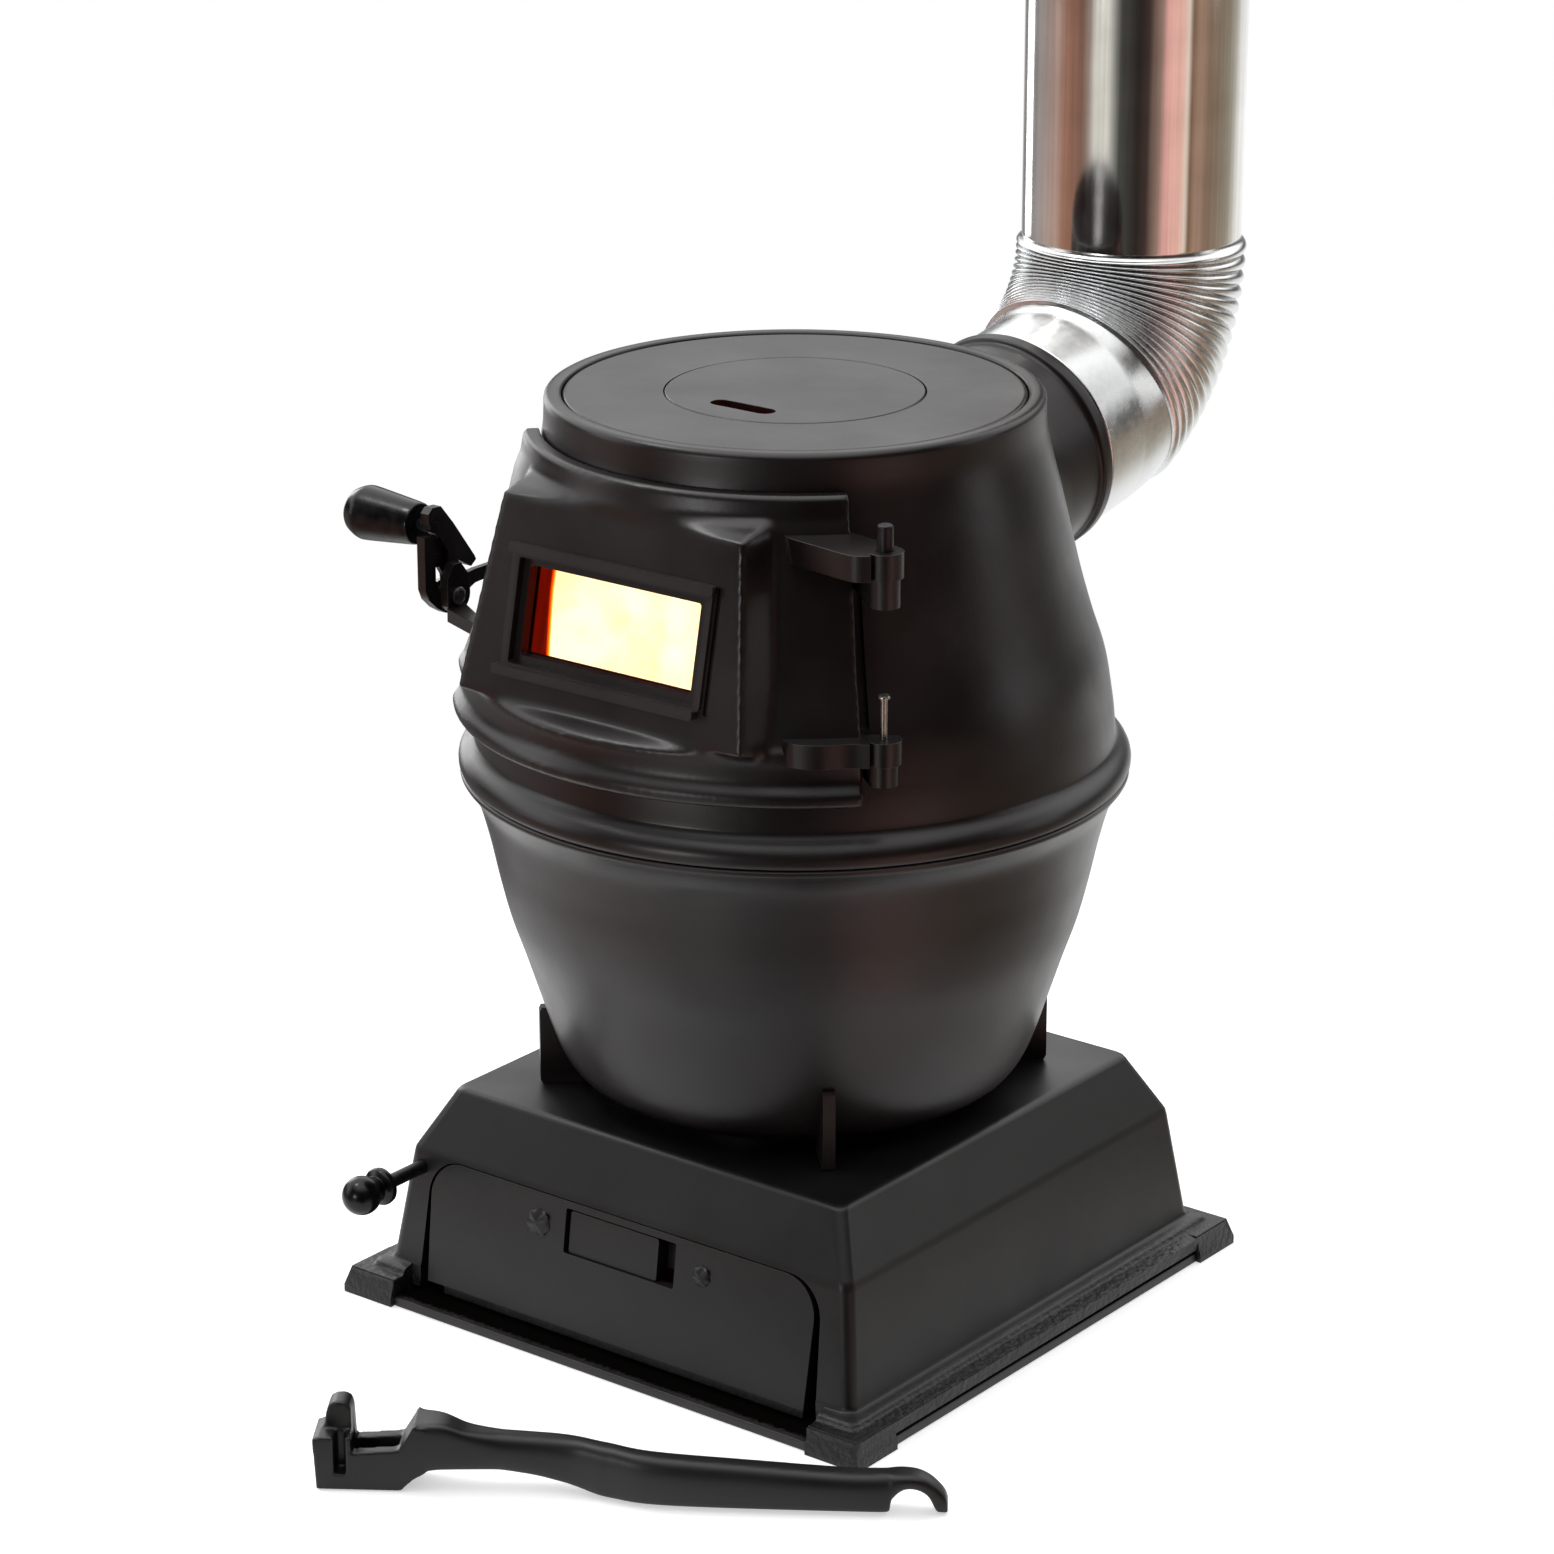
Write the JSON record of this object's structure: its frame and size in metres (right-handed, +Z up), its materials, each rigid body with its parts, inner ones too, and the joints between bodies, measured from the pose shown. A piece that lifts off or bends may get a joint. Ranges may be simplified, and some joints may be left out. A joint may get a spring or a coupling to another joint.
{
  "type": "camping wood stove",
  "caption": "Pot-bellied cast iron camping wood stove with window door, ash drawer, loose top rings and a rear flue elbow with a short upright pipe.",
  "frame": {"origin": "on the floor under the axis of the round fire pot, on the bottom plate's underside", "axes": "+Z up, -Y to the door and drawer at the front, +Y to the flue at the back, +X to the door hinge side"},
  "size_m": [0.4145, 0.6703, 0.64],
  "materials": {
    "cast_iron_black": "satin black heat-resistant paint on cast iron",
    "galvanised_steel": "bright galvanised sheet",
    "dark_steel": "blackened steel",
    "bright_steel": "plain bright steel",
    "pan_sheet": "dark sheet steel",
    "black_bakelite": "glossy black moulding",
    "window_glass": "clear heat-resistant glass"
  },
  "bodies": {
    "stove": {"floor_plate": "cast_iron_black", "base_casting": "cast_iron_black", "lower_pot": "cast_iron_black", "upper_body": "cast_iron_black", "flue_elbow": "galvanised_steel", "flue_pipe": "galvanised_steel", "hinge_pin_upper": "dark_steel", "hinge_pin_lower": "dark_steel"},
    "grate": {"grate": "cast_iron_black"},
    "shaker": {"shaker_rod": "dark_steel", "shaker_knob": "black_bakelite"},
    "door": {"door": "cast_iron_black", "window_glass": "window_glass", "glass_retainer": "dark_steel", "retainer_screw_1": "bright_steel", "retainer_screw_2": "bright_steel", "retainer_screw_3": "bright_steel", "retainer_screw_4": "bright_steel", "latch_pin": "bright_steel"},
    "latch": {"latch_lever": "cast_iron_black", "latch_stud": "bright_steel", "latch_grip": "black_bakelite"},
    "drawer": {"drawer_front": "cast_iron_black", "ash_pan": "pan_sheet", "shutter_guide": "dark_steel", "drawer_rivet_1": "dark_steel", "drawer_rivet_2": "dark_steel"},
    "shutter": {"air_shutter": "cast_iron_black"},
    "hob_ring": {"hob_ring": "cast_iron_black"},
    "hob_lid": {"hob_lid": "cast_iron_black"},
    "lifter": {"lifter": "cast_iron_black"}
  },
  "joints": [
    {"name": "door_hinge", "type": "hinge", "parent": "stove", "child": "door", "pos_m": [0.1274, -0.1001, 0.33], "axis": [0, 0, 1], "range_deg": [0, 110]},
    {"name": "latch_swing", "type": "hinge", "parent": "door", "child": "latch", "pos_m": [-0.1493, -0.084, 0.3478], "axis": [1, 0, 0], "range_deg": [-12, 45]},
    {"name": "drawer_slide", "type": "slide", "parent": "stove", "child": "drawer", "axis": [0, -1, 0], "range_m": [0, 0.068]},
    {"name": "shutter_slide", "type": "slide", "parent": "drawer", "child": "shutter", "axis": [1, 0, 0], "range_m": [-0.0014, 0.0112]},
    {"name": "grate_turn", "type": "hinge", "parent": "stove", "child": "grate", "pos_m": [0, 0, 0.114], "axis": [0, 0, 1], "range_deg": [-6.7, 6.7]},
    {"name": "shaker_slide", "type": "slide", "parent": "stove", "child": "shaker", "axis": [0, -1, 0], "range_m": [-0.015, 0.015]},
    {"name": "ring_lift", "type": "slide", "parent": "stove", "child": "hob_ring", "axis": [0, 0, 1], "range_m": [0, 0.06]},
    {"name": "lid_lift", "type": "slide", "parent": "hob_ring", "child": "hob_lid", "axis": [0, 0, 1], "range_m": [0, 0.06]},
    {"name": "lifter_lift", "type": "slide", "parent": "stove", "child": "lifter", "axis": [0, 0, 1], "range_m": [0, 0.25]}
  ],
  "couplings": [
    {"joint": "shaker_slide", "follows": "grate_turn", "m_per_rad": 0.1272}
  ]
}
